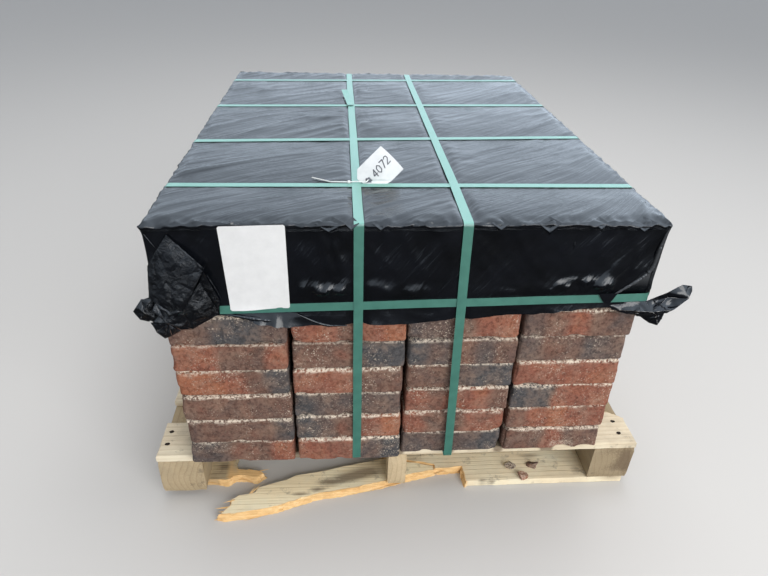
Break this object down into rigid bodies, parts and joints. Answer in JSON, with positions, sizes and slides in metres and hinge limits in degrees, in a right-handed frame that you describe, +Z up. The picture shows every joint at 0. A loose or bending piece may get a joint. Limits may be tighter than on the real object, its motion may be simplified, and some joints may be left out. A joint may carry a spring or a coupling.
{
  "type": "pallet of paving stones",
  "caption": "Wooden pallet loaded with tumbled concrete paving stones, strapped in green and covered on top with black film.",
  "frame": {"origin": "on the ground at the middle of the pallet's footprint, on the underside of the middle bottom board", "axes": "+X to the right across the front, +Y from the labelled front to the back, +Z up"},
  "size_m": [1.0002, 1.129, 0.7056],
  "materials": {
    "stringer_wood": "weathered sawn softwood",
    "deck_wood": "weathered sawn softwood",
    "lead_wood": "weathered, fresh orange where it is split",
    "concrete": "tumbled red, brown and charcoal blend",
    "film": "thin black polyethylene sheet, slightly glossy",
    "strap_plastic": "green strapping, satin",
    "paper": "white label paper",
    "card": "white card tag",
    "tie_plastic": "white nylon"
  },
  "bodies": {
    "root": {"stringer_left": "stringer_wood", "stringer_middle": "stringer_wood", "stringer_right": "stringer_wood", "lead_board_right": "lead_wood", "lead_board_split": "lead_wood", "lead_board_stub": "lead_wood", "bottom_board_middle": "deck_wood", "bottom_board_rear": "deck_wood", "deck_board_1": "deck_wood", "deck_board_2": "deck_wood", "deck_board_3": "deck_wood", "deck_board_4": "deck_wood", "deck_board_5": "deck_wood", "deck_board_6": "deck_wood", "deck_board_7": "deck_wood", "paver_layer_1": "concrete", "paver_layer_2": "concrete", "paver_layer_3": "concrete", "paver_layer_4": "concrete", "paver_layer_5": "concrete", "paver_layer_6": "concrete", "paver_layer_7": "concrete", "paver_layer_8": "concrete", "paver_layer_9": "concrete", "paver_core": "concrete", "film_cover": "film", "long_strap_left": "strap_plastic", "long_strap_right": "strap_plastic", "cross_strap_1": "strap_plastic", "cross_strap_2": "strap_plastic", "cross_strap_3": "strap_plastic", "cross_strap_4": "strap_plastic", "girth_strap": "strap_plastic", "label_sheet": "paper", "tag": "card", "tag_tie": "tie_plastic"}
  },
  "joints": []
}
